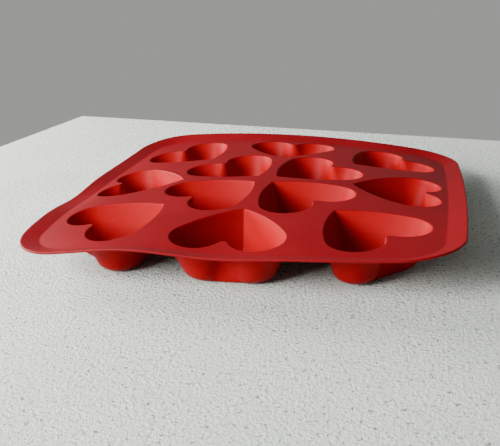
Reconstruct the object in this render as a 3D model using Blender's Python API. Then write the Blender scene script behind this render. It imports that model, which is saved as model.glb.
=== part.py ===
"""Twelve-cavity heart mould in silicone: one thin sheet with twelve heart cups and an upturned rim.

Metres, +Z up. The origin is on the resting plane, under the middle of the sheet; the cups stand
on z = 0. The sheet is modelled as it lies empty and relaxed: a little higher in the middle, with
its front left and back right corners drooping.
"""
import math

import bmesh
import bpy
from mathutils import Vector

# ---- driving dimensions -------------------------------------------------------------------------
SHEET_HALF = 0.1180        # half of the sheet's width, at the middle of each side
CORNER_R = 0.034           # rounding of the sheet's corners
CORNER_C = 0.082           # where the centre of a corner's arc lies, in X and in Y
RIM_W = 0.0099             # width of the upturned rim
RIM_RISE = 0.0039          # how far the rim's edge stands above the deck
EDGE_T = 0.0014            # thickness of the rim's edge
DECK_Z = 0.0273            # top of the deck in the middle of the sheet
SHEET_T = 0.0018           # thickness of the deck and the rim
GAP = 0.0003               # parting gap between touching pieces

HEART_W = 0.0300           # half width of a heart opening
HEART_L = 0.0510           # tip of the heart to the top of its lobes
LOBE_R = 0.0148            # radius of a lobe
SIDE_R = 0.0750            # radius of the gently bowed sides
NOTCH_R = 0.0026           # rounding of the notch between the lobes
NOTCH_LEAN = 0.15          # how far the notch leans in for each unit that the sides come in
TIP_R = 0.0015             # rounding of the tip
WALL_T = 0.0018            # wall of a cup
DRAFT = 0.33               # how far a wall leans in for each unit of depth
CUP_R_OUT = 0.0090         # rounding between wall and floor, outside
CUP_R_IN = 0.0072          # and inside
OFFSET_SHARE = 0.35        # share of a cup's narrowing that is an offset; the rest is a scaling
SHRINK_Y = 0.020           # the scaling's centre, this far from the heart's tip
FLOOR_INSET = 0.0154       # the floor panel begins this far inside the opening's outline
FLOOR_T = 0.0014           # floor panel
FLOOR_LIFT = 0.0004        # the panel's underside stands this far above the foot

TIP_CORNER = 0.0487        # tips of the corner hearts, in X and in Y
TIP_SIDE = 0.0532          # tips of the side hearts, from the middle of the sheet
TIP_INNER = 0.0059         # tips of the inner hearts, in X and in Y

# Relaxed shape: height of the sheet against its middle. Rows run from back to front.
RELAX = ((-0.0060, -0.0045, -0.0189),
         (-0.0083, 0.0, -0.0096),
         (0.0030, -0.0052, -0.0030))
FLAP = 0.0178              # extra droop of the front left corner
# Waves in the rim: middle in halves of the sheet, depth of the dip, reach in X and in Y.
RIPPLES = ((-1.0, -0.20, 0.0034, 0.08, 0.16),
           (0.0, -1.0, 0.0018, 0.15, 0.08),
           (-0.40, -1.0, -0.0012, 0.12, 0.08))
STIFF_Z = 0.0030           # below this height the cups keep their moulded shape

# name: (direction of the lobes, tip's distance from the middle)
DIAG = math.sqrt(2.0)
HEARTS = {
    "corner_fl": ((-1, -1), TIP_CORNER * DIAG), "corner_fr": ((1, -1), TIP_CORNER * DIAG),
    "corner_bl": ((-1, 1), TIP_CORNER * DIAG), "corner_br": ((1, 1), TIP_CORNER * DIAG),
    "side_front": ((0, -1), TIP_SIDE), "side_right": ((1, 0), TIP_SIDE),
    "side_back": ((0, 1), TIP_SIDE), "side_left": ((-1, 0), TIP_SIDE),
    "inner_fl": ((-1, -1), TIP_INNER * DIAG), "inner_fr": ((1, -1), TIP_INNER * DIAG),
    "inner_bl": ((-1, 1), TIP_INNER * DIAG), "inner_br": ((1, 1), TIP_INNER * DIAG),
}


# ---- outlines -----------------------------------------------------------------------------------
def arc(centre, radius, a0, a1, steps, closed=False):
    """Points from angle a0 towards a1; the last one is left out unless closed."""
    return [(centre[0] + radius * math.cos(a0 + (a1 - a0) * i / steps),
             centre[1] + radius * math.sin(a0 + (a1 - a0) * i / steps))
            for i in range(steps + (1 if closed else 0))]


def heart_offset(inset, notch_y=None):
    """A heart's outline, tip at the origin and lobes towards +Y, moved inwards by inset.

    It is four tangent arcs a side: notch, lobe, bowed side and tip. An inset changes only the
    radii, so every inset has the same number of points and any two of them can be lofted. The
    notch's lowest point can be given; its arc is then the one that touches both lobes there.
    """
    cx, cy = HEART_W - LOBE_R, HEART_L - LOBE_R
    dist = math.hypot(cx, cy)
    along = (SIDE_R ** 2 - (SIDE_R - LOBE_R) ** 2 + dist ** 2) / (2 * dist)
    off = math.sqrt(SIDE_R ** 2 - along ** 2)
    side = (along * cx / dist - off * cy / dist, along * cy / dist + off * cx / dist)
    lobe_r, notch_r = LOBE_R - inset, NOTCH_R + inset
    if notch_y is not None:
        rise = min(notch_y - cy, lobe_r - 0.0002)
        notch_r = (rise ** 2 + cx ** 2 - lobe_r ** 2) / (2 * (lobe_r - rise))
    centre_y = cy + math.sqrt((lobe_r + notch_r) ** 2 - cx ** 2)
    tip_y = side[1] - math.sqrt((SIDE_R - inset - TIP_R) ** 2 - side[0] ** 2)
    a_notch = math.atan2(cy - centre_y, cx)
    a_lobe = math.atan2(centre_y - cy, -cx)
    a_side = math.atan2(cy - side[1], cx - side[0])
    a_tip = math.atan2(tip_y - side[1], -side[0])
    half = arc((0, centre_y), notch_r, -math.pi / 2, a_notch, 2)
    half += arc((cx, cy), lobe_r, a_lobe, a_side, 6)
    half += arc(side, SIDE_R - inset, a_side, a_tip, 3)
    half += arc((0, tip_y), TIP_R, a_tip, -math.pi / 2, 1, closed=True)
    return half + [(-x, y) for x, y in reversed(half[1:-1])]


def heart(inset):
    """A heart whose sides lie inset inside the opening's: part offset, part scaled down."""
    if inset <= 0:
        return heart_offset(inset)
    moved = OFFSET_SHARE * inset
    scale = (HEART_W - inset) / (HEART_W - moved)
    notch = heart_offset(0.0)[0][1] - NOTCH_LEAN * inset
    outline = heart_offset(moved, SHRINK_Y + (notch - SHRINK_Y) / scale)
    return [(x * scale, SHRINK_Y + (y - SHRINK_Y) * scale) for x, y in outline]


def placed_heart(name, inset=0.0):
    """The same outline where the named heart sits in the sheet."""
    (dx, dy), tip = HEARTS[name]
    d = Vector((dx, dy)).normalized()
    return [((tip + y) * d.x + x * d.y, (tip + y) * d.y - x * d.x) for x, y in heart(inset)]


def sheet_outline(inset=0.0):
    """The sheet's outline: four slightly bowed sides and four rounded corners, tangent."""
    reach = SHEET_HALF - CORNER_C
    bow_r = (CORNER_C ** 2 / (reach - CORNER_R) + CORNER_R + reach) / 2
    a_end = math.atan2(CORNER_C - (SHEET_HALF - bow_r), CORNER_C)
    quarter = arc((0, SHEET_HALF - bow_r), bow_r - inset, math.pi - a_end, a_end, 6)
    quarter += arc((CORNER_C, CORNER_C), CORNER_R - inset, a_end, math.pi / 2 - a_end, 5)
    points = []
    for turn in range(4):
        c, s = math.cos(-turn * math.pi / 2), math.sin(-turn * math.pi / 2)
        points += [(x * c - y * s, x * s + y * c) for x, y in quarter]
    return points


def relax(x, y):
    """Height of the relaxed sheet at (x, y), against its middle."""
    u, v = x / SHEET_HALF, y / SHEET_HALF
    bx, by = (u * (u - 1) / 2, 1 - u * u, u * (u + 1) / 2), (v * (v + 1) / 2, 1 - v * v, v * (v - 1) / 2)
    height = sum(RELAX[r][c] * by[r] * bx[c] for r in range(3) for c in range(3))
    height -= FLAP * max(0.0, -u - v - 1.0) ** 2
    for u0, v0, depth, reach_u, reach_v in RIPPLES:
        height -= depth * math.exp(-(((u - u0) / reach_u) ** 2 + ((v - v0) / reach_v) ** 2) / 2)
    return height


# ---- building -----------------------------------------------------------------------------------
def new_material(name, colour, roughness):
    mat = bpy.data.materials.new(name)
    mat.use_nodes = True
    shader = mat.node_tree.nodes["Principled BSDF"]
    shader.inputs["Base Color"].default_value = (*colour, 1.0)
    shader.inputs["Roughness"].default_value = roughness
    shader.inputs["Metallic"].default_value = 0.0
    mat.diffuse_color = (*colour, 1.0)
    return mat


def relax_mesh(bm):
    """Lower the sheet to its relaxed shape; feet and floors keep their place."""
    for vert in bm.verts:
        share = (vert.co.z - STIFF_Z) / (DECK_Z - SHEET_T - STIFF_Z)
        vert.co.z += relax(vert.co.x, vert.co.y) * min(1.0, max(0.0, share))


def add_object(name, bm, material, origin, collection):
    """Make an object of bm, with its origin at the given point."""
    bmesh.ops.recalc_face_normals(bm, faces=bm.faces)
    bmesh.ops.translate(bm, verts=bm.verts, vec=-Vector(origin))
    mesh = bpy.data.meshes.new(name)
    bm.to_mesh(mesh)
    bm.free()
    mesh.materials.append(material)
    mesh.shade_smooth()
    mesh.set_sharp_from_angle(angle=math.radians(40))
    obj = bpy.data.objects.new(name, mesh)
    obj.location = origin
    collection.objects.link(obj)
    return obj


def loft(sections, ring):
    """Skin closed sections of (points, z); a ring also joins the last one to the first."""
    bm = bmesh.new()
    loops = [[bm.verts.new((x, y, z)) for x, y in points] for points, z in sections]
    pairs = list(zip(loops, loops[1:]))
    if ring:
        pairs.append((loops[-1], loops[0]))
    for low, high in pairs:
        for i in range(len(low)):
            j = (i + 1) % len(low)
            bm.faces.new((low[i], low[j], high[j], high[i]))
    if not ring:
        bm.faces.new(loops[0])
        bm.faces.new(loops[-1])
    return bm


def cup_profile(out, radius):
    """(inset, z) down a face of a cup's wall, which lies out outside the cavity, and into its floor."""
    lean = math.atan(DRAFT)
    floor_z = WALL_T - out
    run = DRAFT * (DECK_Z - floor_z) - out + radius * math.tan((math.pi / 2 - lean) / 2)
    turns = [lean + (math.pi / 2 - lean) * i / 3 for i in range(4)]
    turned = [(run - radius * math.cos(a), floor_z + radius * (1 - math.sin(a))) for a in turns]
    return [(-out, DECK_Z)] + turned


def cup_sections(name):
    """Section of a cup's wall, round from its top edge outside to its top edge inside."""
    outside = cup_profile(WALL_T, CUP_R_OUT)
    foot = [(FLOOR_INSET, 0.0), (FLOOR_INSET, WALL_T)]
    inside = cup_profile(0.0, CUP_R_IN)[::-1]
    return [(placed_heart(name, inset), z) for inset, z in outside + foot + inside]


def heart_centre(name):
    points = placed_heart(name, FLOOR_INSET)
    return (sum(p[0] for p in points) / len(points), sum(p[1] for p in points) / len(points))


def outline_curve(name, outlines, collection):
    """A filled flat plate bounded by closed outlines, the first of them the outer one."""
    curve = bpy.data.curves.new(name, "CURVE")
    curve.dimensions = "2D"
    curve.fill_mode = "BOTH"
    curve.extrude = SHEET_T / 2
    for points in outlines:
        spline = curve.splines.new("POLY")
        spline.points.add(len(points) - 1)
        for point, (x, y) in zip(spline.points, points):
            point.co = (x, y, 0.0, 1.0)
        spline.use_cyclic_u = True
    obj = bpy.data.objects.new(name, curve)
    collection.objects.link(obj)
    return obj


def build_deck(material, collection):
    """The flat web between the cups, cut from one plate and then relaxed."""
    outlines = [sheet_outline(RIM_W + GAP)]
    outlines += [placed_heart(name, -WALL_T - GAP) for name in HEARTS]
    guide = outline_curve("deck_outline", outlines, collection)
    bpy.context.view_layer.update()
    plate = bpy.data.meshes.new_from_object(guide.evaluated_get(bpy.context.evaluated_depsgraph_get()))
    bpy.data.objects.remove(guide)
    bm = bmesh.new()
    bm.from_mesh(plate)
    bpy.data.meshes.remove(plate)
    bmesh.ops.remove_doubles(bm, verts=bm.verts, dist=1e-6)
    for axis in (Vector((1, 0, 0)), Vector((0, 1, 0))):
        for step in (-0.072, -0.036, 0.0, 0.036, 0.072):
            bmesh.ops.bisect_plane(bm, geom=bm.verts[:] + bm.edges[:] + bm.faces[:], dist=1e-7,
                                   plane_co=axis * step, plane_no=axis)
    bmesh.ops.translate(bm, verts=bm.verts, vec=(0, 0, DECK_Z - SHEET_T / 2))
    bmesh.ops.triangulate(bm, faces=bm.faces)
    relax_mesh(bm)
    return add_object("deck", bm, material, (0, 0, 0), collection)


def build_rim(material, collection):
    """The upturned rim: a flat start, a soft crease and a raised edge."""
    low, high = DECK_Z - SHEET_T, DECK_Z
    section = ((RIM_W, low), (RIM_W, high), (RIM_W * 0.8, high + RIM_RISE * 0.13), (0.0, high + RIM_RISE),
               (0.0, high + RIM_RISE - EDGE_T), (RIM_W * 0.8, low + RIM_RISE * 0.18))
    bm = loft([(sheet_outline(inset), z) for inset, z in section], ring=True)
    relax_mesh(bm)
    return add_object("rim_lip", bm, material, (0, 0, 0), collection)


def build_cup(name, material, collection):
    """A cup's wall with its foot, and the floor panel that a finger pushes up."""
    wall = loft(cup_sections(name), ring=True)
    relax_mesh(wall)
    cx, cy = heart_centre(name)
    add_object("cup_wall_" + name, wall, material, (cx, cy, 0.0), collection)
    outline = placed_heart(name, FLOOR_INSET + GAP)
    floor = loft([(outline, FLOOR_LIFT), (outline, FLOOR_LIFT + FLOOR_T)], ring=False)
    add_object("cup_floor_" + name, floor, material, (cx, cy, FLOOR_LIFT), collection)


def main():
    for obj in list(bpy.data.objects):
        bpy.data.objects.remove(obj, do_unlink=True)
    parts = bpy.data.collections.new("heart_soap_mould")
    bpy.context.scene.collection.children.link(parts)
    deck_red = new_material("silicone_deck", (0.42, 0.022, 0.024), 0.5)
    cup_red = new_material("silicone_cup", (0.50, 0.020, 0.022), 0.42)
    rim_red = new_material("silicone_rim", (0.44, 0.022, 0.024), 0.5)
    build_deck(deck_red, parts)
    build_rim(rim_red, parts)
    for name in HEARTS:
        build_cup(name, cup_red, parts)


main()
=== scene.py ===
"""Twelve-cavity silicone heart mould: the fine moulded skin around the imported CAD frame."""

import math

import bmesh
import bpy
import numpy as np
from mathutils import Matrix, Vector
from mathutils.geometry import delaunay_2d_cdt


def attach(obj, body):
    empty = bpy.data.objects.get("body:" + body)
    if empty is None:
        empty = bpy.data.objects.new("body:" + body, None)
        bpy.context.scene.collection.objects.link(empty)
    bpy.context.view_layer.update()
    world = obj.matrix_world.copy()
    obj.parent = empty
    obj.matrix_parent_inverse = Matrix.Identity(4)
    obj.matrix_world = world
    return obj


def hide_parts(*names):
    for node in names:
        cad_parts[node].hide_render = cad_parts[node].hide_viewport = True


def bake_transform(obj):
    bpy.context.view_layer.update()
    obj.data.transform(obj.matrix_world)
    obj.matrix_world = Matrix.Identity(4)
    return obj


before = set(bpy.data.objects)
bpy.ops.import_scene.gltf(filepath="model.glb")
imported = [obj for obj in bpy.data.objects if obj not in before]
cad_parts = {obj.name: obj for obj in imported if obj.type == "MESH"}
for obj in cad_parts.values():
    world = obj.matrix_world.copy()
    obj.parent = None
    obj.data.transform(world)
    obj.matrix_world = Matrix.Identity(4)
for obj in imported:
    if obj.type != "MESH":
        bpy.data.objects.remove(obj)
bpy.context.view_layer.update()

# ---- dimensions, in metres, the same as the CAD's ----------------------------------------------
SHEET_HALF, CORNER_R, CORNER_C = 0.1180, 0.034, 0.082
RIM_W, RIM_RISE, EDGE_T = 0.0099, 0.0039, 0.0014
DECK_Z, SHEET_T, WALL_T = 0.0273, 0.0018, 0.0018
HEART_W, HEART_L, LOBE_R, SIDE_R, TIP_R = 0.0300, 0.0510, 0.0148, 0.0750, 0.0015
NOTCH_R, NOTCH_LEAN = 0.0026, 0.15
DRAFT, CUP_R_OUT, CUP_R_IN = 0.33, 0.0090, 0.0072
OFFSET_SHARE, SHRINK_Y = 0.35, 0.020
TIP_CORNER, TIP_SIDE, TIP_INNER = 0.0487, 0.0532, 0.0059
RELAX = ((-0.0060, -0.0045, -0.0189), (-0.0083, 0.0, -0.0096), (0.0030, -0.0052, -0.0030))
FLAP, STIFF_Z = 0.0178, 0.0030
RIPPLES = ((-1.0, -0.20, 0.0034, 0.08, 0.16), (0.0, -1.0, 0.0018, 0.15, 0.08),
           (-0.40, -1.0, -0.0012, 0.12, 0.08))
SEAM_Z = 0.0235            # where the skin of a cup's wall passes from the sheet to its bowl
SEAM_STEP = 0.0004         # an even last step on both sides of that seam
MOUTH_R = 0.0008           # rounding of a cavity's mouth
UNDER_R = 0.0016           # rounding between the sheet's underside and a cup's wall
CREASE_R = 0.003           # rounding where the rim leaves the deck
GUARD = (0.0011, 0.0004)   # rings on the flat beside a rounding, so that it shades cleanly
BRINK = 6                  # the ring of a mouth where the deck's silicone meets the brighter copy painted on the cavity as bounced light
RIM_STEPS = (0.06, 0.25, 0.5, 0.75, 0.94)                # rings across the rim, as shares of it
FLOOR_RINGS = (0.85, 0.7, 0.55, 0.4, 0.25, 0.12)         # rings of a floor, as shares of its size
DECK_PITCH, UNDER_PITCH = 0.0032, 0.0045                 # spacing of the deck's vertices
WELD = 2e-6                # vertices closer than this are one
BEND_TOP, BEND_END = 0.001, 0.002    # a drop under a bowl's seam and a height; main works out the dropped height but bends no bowl, and BEND_END is not used

DIAG = math.sqrt(2.0)
HEARTS = {
    "corner_fl": ((-1, -1), TIP_CORNER * DIAG), "corner_fr": ((1, -1), TIP_CORNER * DIAG),
    "corner_bl": ((-1, 1), TIP_CORNER * DIAG), "corner_br": ((1, 1), TIP_CORNER * DIAG),
    "side_front": ((0, -1), TIP_SIDE), "side_right": ((1, 0), TIP_SIDE),
    "side_back": ((0, 1), TIP_SIDE), "side_left": ((-1, 0), TIP_SIDE),
    "inner_fl": ((-1, -1), TIP_INNER * DIAG), "inner_fr": ((1, -1), TIP_INNER * DIAG),
    "inner_bl": ((-1, 1), TIP_INNER * DIAG), "inner_br": ((1, 1), TIP_INNER * DIAG),
}


# ---- stage, in metres and watts -----------------------------------------------------------------
TABLE = ((-0.279, 0.311), (1.2, -0.028), (-0.328, -0.1))     # far, right and left corners
TABLE_FRONT, TABLE_DEPTH = -3.0, 0.30
CAMERA_PLACE = (0.09802, -0.41295, 0.15329)
CAMERA_YAW, CAMERA_PITCH, CAMERA_ROLL = -0.259, 0.349, -0.053      # radians; the pitch is downwards
LIGHTS = (      # name, place, size, power; each one looks at the middle of the tray
    ("window", (-0.54, -0.60, 0.41), (0.45, 0.40), 29.0),
    ("side_light", (-0.79, 0.17, 0.265), (0.46, 0.31), 18.5),
)


# ---- outlines -----------------------------------------------------------------------------------
def arc(centre, radius, a0, a1, steps, closed=False):
    """Points of an arc from angle a0 to a1, the last one only if it is closed."""
    t = a0 + (a1 - a0) * np.arange(steps + (1 if closed else 0)) / steps
    return np.column_stack([centre[0] + radius * np.cos(t), centre[1] + radius * np.sin(t)])


def heart_offset(inset, notch_y=None):
    """Heart with its tip at the origin, as tangent arcs: notch, lobe, bowed side, tip, mirrored."""
    cx, cy = HEART_W - LOBE_R, HEART_L - LOBE_R
    dist = math.hypot(cx, cy)
    along = (SIDE_R ** 2 - (SIDE_R - LOBE_R) ** 2 + dist ** 2) / (2 * dist)
    off = math.sqrt(SIDE_R ** 2 - along ** 2)
    side = (along * cx / dist - off * cy / dist, along * cy / dist + off * cx / dist)
    lobe_r, notch_r = LOBE_R - inset, NOTCH_R + inset
    if notch_y is not None:
        rise = min(notch_y - cy, lobe_r - 0.0002)
        notch_r = (rise ** 2 + cx ** 2 - lobe_r ** 2) / (2 * (lobe_r - rise))
    centre_y = cy + math.sqrt((lobe_r + notch_r) ** 2 - cx ** 2)
    tip_y = side[1] - math.sqrt((SIDE_R - inset - TIP_R) ** 2 - side[0] ** 2)
    a_notch = math.atan2(cy - centre_y, cx)
    a_lobe = math.atan2(centre_y - cy, -cx)
    a_side = math.atan2(cy - side[1], cx - side[0])
    a_tip = math.atan2(tip_y - side[1], -side[0])
    half = np.vstack([
        arc((0, centre_y), notch_r, -math.pi / 2, a_notch, 6),
        arc((cx, cy), lobe_r, a_lobe, a_side, 22),
        arc(side, SIDE_R - inset, a_side, a_tip, 12),
        arc((0, tip_y), TIP_R, a_tip, -math.pi / 2, 4, closed=True)])
    return np.vstack([half, half[-2:0:-1] * (-1, 1)])


def placed_heart(name, inset, shrink=1.0):
    """The named cavity's outline in the sheet, its sides inset inwards."""
    if inset <= 0:
        points = heart_offset(inset)
    else:
        moved = OFFSET_SHARE * inset
        scale = (HEART_W - inset) / (HEART_W - moved)
        notch = heart_offset(0.0)[0, 1] - NOTCH_LEAN * inset
        points = heart_offset(moved, SHRINK_Y + (notch - SHRINK_Y) / scale)
        points = (0, SHRINK_Y) + (points - (0, SHRINK_Y)) * scale
    points = (0, 0.5 * HEART_L) + (points - (0, 0.5 * HEART_L)) * shrink
    (dx, dy), tip = HEARTS[name]
    d = np.array((dx, dy)) / math.hypot(dx, dy)
    return (tip + points[:, 1:]) * d + points[:, :1] * (d[1], -d[0])


def sheet_outline(inset):
    """Rounded square with bowed sides, inset inwards."""
    reach = SHEET_HALF - CORNER_C
    bow_r = (CORNER_C ** 2 / (reach - CORNER_R) + CORNER_R + reach) / 2
    a_end = math.atan2(CORNER_C - (SHEET_HALF - bow_r), CORNER_C)
    quarter = np.vstack([
        arc((0, SHEET_HALF - bow_r), bow_r - inset, math.pi - a_end, a_end, 44),
        arc((CORNER_C, CORNER_C), CORNER_R - inset, a_end, math.pi / 2 - a_end, 22)])
    turns = [quarter]
    for _ in range(3):
        turns.append(turns[-1] @ np.array(((0, -1), (1, 0))))
    return np.vstack(turns)


def relax(p):
    """Height of the relaxed sheet at points p, against its middle."""
    u, v = p[:, 0] / SHEET_HALF, p[:, 1] / SHEET_HALF
    bx = (u * (u - 1) / 2, 1 - u * u, u * (u + 1) / 2)
    by = (v * (v + 1) / 2, 1 - v * v, v * (v - 1) / 2)
    height = sum(RELAX[r][c] * by[r] * bx[c] for r in range(3) for c in range(3))
    height -= FLAP * np.maximum(0.0, -u - v - 1.0) ** 2
    for u0, v0, depth, reach_u, reach_v in RIPPLES:
        height -= depth * np.exp(-(((u - u0) / reach_u) ** 2 + ((v - v0) / reach_v) ** 2) / 2)
    return height


def fillet(corner, d1, d2, radius, steps):
    """Points of a rounding between two sides of a corner, from side d1 to side d2."""
    corner, d1, d2 = (np.array(a, float) for a in (corner, d1, d2))
    d1, d2 = d1 / np.linalg.norm(d1), d2 / np.linalg.norm(d2)
    half = math.acos(float(d1 @ d2)) / 2
    mid = (d1 + d2) / np.linalg.norm(d1 + d2)
    centre = corner + mid * radius / math.sin(half)
    a = corner + d1 * radius / math.tan(half) - centre
    b = corner + d2 * radius / math.tan(half) - centre
    a0, turn = math.atan2(a[1], a[0]), math.atan2(a[0] * b[1] - a[1] * b[0], a @ b)
    return [(centre[0] + radius * math.cos(a0 + turn * i / steps),
             centre[1] + radius * math.sin(a0 + turn * i / steps)) for i in range(steps + 1)]


# ---- skins --------------------------------------------------------------------------------------
class Skin:
    """Rings and flat regions at their moulded height, relaxed and welded into one mesh."""

    def __init__(self):
        self.points, self.faces, self.finish, self.count = [], [], [], 0

    def add(self, xy, z):
        """Add points at their moulded height, relaxed, and return the first one's number."""
        z = np.broadcast_to(np.asarray(z, float), (len(xy),))
        share = np.clip((z - STIFF_Z) / (DECK_Z - SHEET_T - STIFF_Z), 0, 1)
        self.points.append(np.column_stack([xy, z + relax(xy) * share]))
        first = self.count
        self.count += len(xy)
        return first

    def rings(self, sections, flip=False, cap=None, finish=0):
        """Skin closed rings of (points, z); cap is the point that closes the last one."""
        starts = [self.add(xy, z) for xy, z in sections]
        n = len(sections[0][0])
        for a, b in zip(starts, starts[1:]):
            for i in range(n):
                j = (i + 1) % n
                quad = (a + i, a + j, b + j, b + i)
                self.faces.append(quad[::-1] if flip else quad)
        if cap is not None:
            tip = self.add(np.array([cap[:2]]), cap[2])
            last = starts[-1]
            for i in range(n):
                tri = (last + i, last + (i + 1) % n, tip)
                self.faces.append(tri[::-1] if flip else tri)
        # finish 1 gives these faces the brighter copy of the silicone, painted light
        self.finish += [finish] * (len(self.faces) - len(self.finish))

    def region(self, outer, holes, z, pitch, flip=False):
        """A flat region between an outline and its holes, filled with even triangles."""
        loops = [outer] + holes
        verts, edges = [Vector(p) for loop in loops for p in loop], []
        start = 0
        for loop in loops:
            edges += [(start + i, start + (i + 1) % len(loop)) for i in range(len(loop))]
            start += len(loop)
        edge_points = np.vstack(loops)
        span = np.arange(-SHEET_HALF, SHEET_HALF, pitch)
        gx, gy = np.meshgrid(span, span)
        gx[1::2] += pitch / 2
        grid = np.column_stack([gx.ravel(), gy.ravel()])
        grid = grid[within(grid, outer, holes)]
        near = np.array([np.min(np.sum((edge_points - g) ** 2, axis=1)) for g in grid])
        verts += [Vector(g) for g in grid[near > (0.55 * pitch) ** 2]]
        out = delaunay_2d_cdt(verts, edges, [], 0, 1e-7)
        xy, tris = np.array([tuple(v) for v in out[0]]), np.array([tuple(f) for f in out[2]])
        keep = within(xy[tris].mean(axis=1), outer, holes)
        first = self.add(xy, z)
        a, b, c = xy[tris[:, 0]], xy[tris[:, 1]], xy[tris[:, 2]]
        ab, ac = b - a, c - a
        ccw = ab[:, 0] * ac[:, 1] - ab[:, 1] * ac[:, 0] > 0
        for tri, up, use in zip(tris, ccw, keep):
            if use:
                tri = tuple(int(first + t) for t in tri)
                self.faces.append(tri if bool(up) != flip else tri[::-1])
        self.finish += [0] * (len(self.faces) - len(self.finish))

    def make(self, name, materials):
        """The skin as one smooth object, its rings and regions welded together."""
        mesh = bpy.data.meshes.new(name)
        mesh.from_pydata(np.vstack(self.points).tolist(), [], self.faces)
        for material in materials:
            mesh.materials.append(material)
        # material 1 is the same silicone painted almost twice as bright: painted light standing in
        # for bounced light
        mesh.polygons.foreach_set("material_index", self.finish)
        obj = bpy.data.objects.new(name, mesh)
        bpy.context.scene.collection.objects.link(obj)
        bm = bmesh.new()
        bm.from_mesh(mesh)
        bmesh.ops.remove_doubles(bm, verts=bm.verts, dist=WELD)
        loose = [v for v in bm.verts if not v.link_faces]
        bmesh.ops.delete(bm, geom=loose, context="VERTS")
        bm.to_mesh(mesh)
        bm.free()
        mesh.shade_smooth()
        return obj


def inside(points, loop):
    """Which points lie inside the closed loop."""
    x, y = points[:, 0], points[:, 1]
    result = np.zeros(len(points), bool)
    for (x1, y1), (x2, y2) in zip(loop, np.roll(loop, -1, axis=0)):
        if y1 != y2:
            result ^= ((y1 > y) != (y2 > y)) & (x < (x2 - x1) * (y - y1) / (y2 - y1) + x1)
    return result


def within(points, outer, holes):
    """Which points lie inside the outer loop and in none of its holes."""
    return inside(points, outer) & ~np.any([inside(points, hole) for hole in holes], axis=0)


def down(inset, z, z_end, steps):
    """Points down a leaning wall from (inset, z) to z_end, both ends left out but the last."""
    return [(inset + DRAFT * (z - w), w) for w in np.linspace(z, z_end, steps + 1)[1:]]


def upper_wall(face):
    """Profile from the sheet round a cavity's mouth and down to the seam: face is in or out."""
    if face == "in":
        turned = fillet((0, DECK_Z), (-1, 0), (DRAFT, -1), MOUTH_R, 6)
        turned = [(turned[0][0] - g, DECK_Z) for g in GUARD] + turned
    else:
        under = DECK_Z - SHEET_T
        corner = (DRAFT * SHEET_T - WALL_T, under)
        turned = fillet(corner, (-1, 0), (DRAFT, -1), UNDER_R, 5)
    last = turned[-1][0] + DRAFT * (turned[-1][1] - SEAM_Z - SEAM_STEP)
    return (turned + down(*turned[-1], SEAM_Z + SEAM_STEP, 3)
            + down(last, SEAM_Z + SEAM_STEP, SEAM_Z, 1))


def lower_wall(face):
    """Profile from the seam down a cup's wall and round into its floor."""
    if face == "in":
        corner, radius = (DRAFT * (DECK_Z - WALL_T), WALL_T), CUP_R_IN
        start = DRAFT * (DECK_Z - SEAM_Z)
    else:
        corner, radius = (DRAFT * DECK_Z - WALL_T, 0.0), CUP_R_OUT
        start = DRAFT * (DECK_Z - SEAM_Z) - WALL_T
    turned = fillet(corner, (-DRAFT, 1), (1, 0), radius, 9)
    first = down(start, SEAM_Z, SEAM_Z - SEAM_STEP, 1)
    return [(start, SEAM_Z)] + first + down(*first[-1], turned[0][1], 5)[:-1] + turned


def rim_profile():
    """Section of the rim, from the deck's top over the edge to the deck's underside."""
    low, slope = DECK_Z - SHEET_T, RIM_RISE / RIM_W
    top = fillet((RIM_W, DECK_Z), (1, 0), (-1, slope), CREASE_R, 6)
    top = [(top[0][0] + g, DECK_Z) for g in GUARD] + top
    r = EDGE_T / 2
    tilt = math.atan(slope)
    centre = (r, DECK_Z + RIM_RISE - r * (1 + slope))
    edge = [(centre[0] - r * math.sin(tilt + t), centre[1] + r * math.cos(tilt + t))
            for t in np.linspace(0, math.pi, 9)]
    under = fillet((RIM_W, low), (1, 0), (-1, slope), CREASE_R, 6)[::-1]
    a, b = np.array(top[-1]), np.array(edge[0])
    c, d = np.array(edge[-1]), np.array(under[0])
    return (top + [tuple(a + (b - a) * s) for s in RIM_STEPS] + edge
            + [tuple(c + (d - c) * s) for s in RIM_STEPS] + under)


def build_sheet(materials):
    """Deck, rim and the tops of the cups' walls: one continuous skin."""
    skin = Skin()
    rim = rim_profile()
    skin.rings([(sheet_outline(i), z) for i, z in rim])
    mouths = upper_wall("in")
    outer = upper_wall("out")
    names = list(HEARTS)
    skin.region(sheet_outline(rim[0][0]), [placed_heart(n, mouths[0][0]) for n in names],
                DECK_Z, DECK_PITCH)
    skin.region(sheet_outline(rim[-1][0]), [placed_heart(n, outer[0][0]) for n in names],
                DECK_Z - SHEET_T, UNDER_PITCH, flip=True)
    for name in names:
        mouth = [(placed_heart(name, i), z) for i, z in mouths]
        # below the brink the mouth and the cup's outside get the brighter copy: painted light
        # standing in for bounced light
        skin.rings(mouth[:BRINK + 1], flip=True)
        skin.rings(mouth[BRINK:], flip=True, finish=1)
        skin.rings([(placed_heart(name, i), z) for i, z in outer], finish=1)
    return skin.make("mould_sheet", materials)


def build_bowl(name, materials):
    """The lower part of one cup, inside and outside, down to its floor."""
    skin = Skin()
    for face, flip in (("in", True), ("out", False)):
        profile = lower_wall(face)
        inset, z = profile[-1]
        sections = [(placed_heart(name, i), h) for i, h in profile]
        sections += [(placed_heart(name, inset, share), z) for share in FLOOR_RINGS]
        centre = sections[-1][0].mean(axis=0)
        # the whole bowl gets the brighter copy of the silicone: painted light standing in for
        # bounced light
        skin.rings(sections, flip=flip, cap=(*centre, z), finish=1)
    return skin.make("cup_bowl_" + name, materials)


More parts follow.
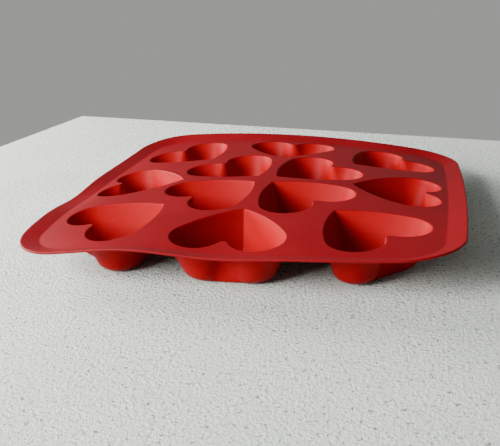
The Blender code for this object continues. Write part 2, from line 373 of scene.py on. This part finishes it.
# ---- materials ----------------------------------------------------------------------------------
def noise(tree, scale, detail=3.0, rough=0.5):
    """Noise over the object's own coordinates, a height from 0 to 1."""
    made = tree.nodes.new("ShaderNodeTexNoise")
    made.inputs["Scale"].default_value = scale
    made.inputs["Detail"].default_value = detail
    made.inputs["Roughness"].default_value = rough
    coords = tree.nodes.get("coords")
    if coords is None:
        coords = tree.nodes.new("ShaderNodeTexCoord")
        coords.name = "coords"
    tree.links.new(coords.outputs["Object"], made.inputs["Vector"])
    return made.outputs["Fac"]


def ramp(tree, source, low, high, a, b):
    """The source's range from low to high stretched over a to b."""
    made = tree.nodes.new("ShaderNodeMapRange")
    for name, value in (("From Min", low), ("From Max", high), ("To Min", a), ("To Max", b)):
        made.inputs[name].default_value = value
    tree.links.new(source, made.inputs["Value"])
    return made.outputs["Result"]


def mix(tree, factor, a, b):
    """Colour from a to b, each a constant or another node's output."""
    made = tree.nodes.new("ShaderNodeMix")
    made.data_type = "RGBA"
    tree.links.new(factor, made.inputs["Factor"])
    for socket, value in (("A", a), ("B", b)):
        target = [s for s in made.inputs if s.name == socket and s.type == "RGBA"][0]
        if isinstance(value, tuple):
            target.default_value = value
        else:
            tree.links.new(value, target)
    return [s for s in made.outputs if s.type == "RGBA"][0]


def silicone(name, dark, light):
    """Matt red silicone with a faint bloom and dust, and a fine moulded grain."""
    mat = bpy.data.materials.new(name)
    mat.use_nodes = True
    tree = mat.node_tree
    shader = tree.nodes["Principled BSDF"]
    cloud = noise(tree, 28.0, 4.0, 0.55)
    colour = mix(tree, ramp(tree, cloud, 0.35, 0.65, 0.0, 1.0), dark, light)
    bloom = noise(tree, 9.0, 5.0, 0.6)
    colour = mix(tree, ramp(tree, bloom, 0.52, 0.78, 0.0, 0.16), colour, (0.25, 0.012, 0.015, 1))
    specks = noise(tree, 420.0, 2.0, 0.6)
    colour = mix(tree, ramp(tree, specks, 0.735, 0.80, 0.0, 0.30), colour, (0.40, 0.12, 0.11, 1))
    tree.links.new(colour, shader.inputs["Base Color"])
    tree.links.new(ramp(tree, bloom, 0.3, 0.7, 0.44, 0.54), shader.inputs["Roughness"])
    shader.inputs["IOR"].default_value = 1.43
    shader.inputs["Specular IOR Level"].default_value = 0.08
    shader.inputs["Subsurface Weight"].default_value = 0.12
    shader.inputs["Subsurface Radius"].default_value = (0.0040, 0.0007, 0.0005)
    shader.inputs["Subsurface Scale"].default_value = 1.0
    bump = tree.nodes.new("ShaderNodeBump")
    bump.inputs["Strength"].default_value = 0.12
    bump.inputs["Distance"].default_value = 0.00012
    tree.links.new(noise(tree, 1700.0, 2.0, 0.6), bump.inputs["Height"])
    soft = tree.nodes.new("ShaderNodeBump")
    soft.inputs["Strength"].default_value = 0.25
    soft.inputs["Distance"].default_value = 0.0004
    tree.links.new(noise(tree, 55.0, 2.0, 0.5), soft.inputs["Height"])
    tree.links.new(bump.outputs["Normal"], soft.inputs["Normal"])
    tree.links.new(soft.outputs["Normal"], shader.inputs["Normal"])
    return mat


def plaster():
    """White plastered tabletop, finely bumped, with near-black flecks painted as the shade inside
    its pits.
    """
    mat = bpy.data.materials.new("pale_table")
    mat.use_nodes = True
    tree = mat.node_tree
    shader = tree.nodes["Principled BSDF"]
    shader.inputs["Roughness"].default_value = 0.85
    shader.inputs["Specular IOR Level"].default_value = 0.3
    stain = noise(tree, 14.0, 6.0, 0.5)
    colour = mix(tree, ramp(tree, stain, 0.35, 0.65, 0.0, 1.0), (0.86, 0.92, 0.84, 1),
                 (0.92, 0.97, 0.89, 1))
    # painted shade: near-black flecks stand in for the shade inside the plaster's pits
    pit_shade = noise(tree, 430.0, 5.0, 0.75)
    colour = mix(tree, ramp(tree, pit_shade, 0.572, 0.625, 0.0, 0.9), colour, (0.08, 0.07, 0.06, 1))
    tree.links.new(colour, shader.inputs["Base Color"])
    rough = noise(tree, 620.0, 5.0, 0.66)
    bump = tree.nodes.new("ShaderNodeBump")
    bump.inputs["Strength"].default_value = 1.0
    bump.inputs["Distance"].default_value = 0.0075
    tree.links.new(rough, bump.inputs["Height"])
    tree.links.new(bump.outputs["Normal"], shader.inputs["Normal"])
    return mat


# ---- stage --------------------------------------------------------------------------------------
def build_stage():
    """A pale slab to stand on, grey surroundings and two soft lights from the left."""
    mesh = bpy.data.meshes.new("table")
    corner, right_back, left = TABLE
    front_left, front_right = (left[0] - 0.6, TABLE_FRONT), (right_back[0] + 0.5, TABLE_FRONT)
    outline = [corner, left, front_left, front_right, right_back]
    top = [(x, y, 0.0) for x, y in outline]
    base = [(x, y, -TABLE_DEPTH) for x, y in outline]
    n = len(top)
    faces = [tuple(range(n)), tuple(range(2 * n - 1, n - 1, -1))]
    faces += [(i, i + n, (i + 1) % n + n, (i + 1) % n) for i in range(n)]
    mesh.from_pydata(top + base, [], faces)
    table = bpy.data.objects.new("table", mesh)
    mesh.materials.append(plaster())
    bpy.context.scene.collection.objects.link(table)

    world = bpy.data.worlds.new("soft_grey")
    bpy.context.scene.world = world
    world.use_nodes = True
    back = world.node_tree.nodes["Background"]
    back.inputs["Color"].default_value = (0.84, 0.85, 0.82, 1)
    back.inputs["Strength"].default_value = 0.42

    for name, place, size, power in LIGHTS:
        data = bpy.data.lights.new(name, "AREA")
        data.shape = "RECTANGLE"
        data.size, data.size_y = size
        data.energy = power
        light = bpy.data.objects.new(name, data)
        light.location = place
        light.rotation_euler = (-Vector(place)).to_track_quat("-Z", "Y").to_euler()
        bpy.context.scene.collection.objects.link(light)


def build_camera():
    """A camera in front of the tray and a little to its right, looking down on it."""
    yaw, pitch, roll = CAMERA_YAW, CAMERA_PITCH, CAMERA_ROLL
    forward = Vector((math.sin(yaw) * math.cos(pitch), math.cos(yaw) * math.cos(pitch),
                      -math.sin(pitch)))
    right = Vector((math.cos(yaw), -math.sin(yaw), 0.0))
    up = right.cross(forward)
    side = right * math.cos(roll) + up * math.sin(roll)
    over = up * math.cos(roll) - right * math.sin(roll)
    data = bpy.data.cameras.new("camera")
    data.sensor_width = 36.0
    data.lens = 52.0
    data.clip_start = 0.02
    camera = bpy.data.objects.new("camera", data)
    camera.matrix_world = Matrix.Translation(CAMERA_PLACE) @ Matrix(
        (side, over, -forward)).transposed().to_4x4()
    bpy.context.scene.collection.objects.link(camera)
    bpy.context.scene.camera = camera


def main():
    # the second material is the same silicone painted almost twice as bright: painted light on the
    # cavities and the cups' outsides, standing in for bounced light
    red = (silicone("red_silicone", (0.130, 0.0008, 0.0032, 1), (0.149, 0.0012, 0.0040, 1)),
           silicone("red_silicone_painted_light", (0.236, 0.0003, 0.0022, 1), (0.262, 0.0005, 0.0028, 1)))
    sheet = build_sheet(red)
    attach(sheet, "mould")
    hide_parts("deck", "rim_lip")
    for name in HEARTS:
        bowl = build_bowl(name, red)
        seam_ring = placed_heart(name, DRAFT * (DECK_Z - SEAM_Z))
        share = (SEAM_Z - STIFF_Z) / (DECK_Z - SHEET_T - STIFF_Z)
        seam = SEAM_Z + float(relax(seam_ring).min()) * share - BEND_TOP
        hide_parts("cup_wall_" + name, "cup_floor_" + name)
        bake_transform(bowl)
    build_stage()
    build_camera()


main()
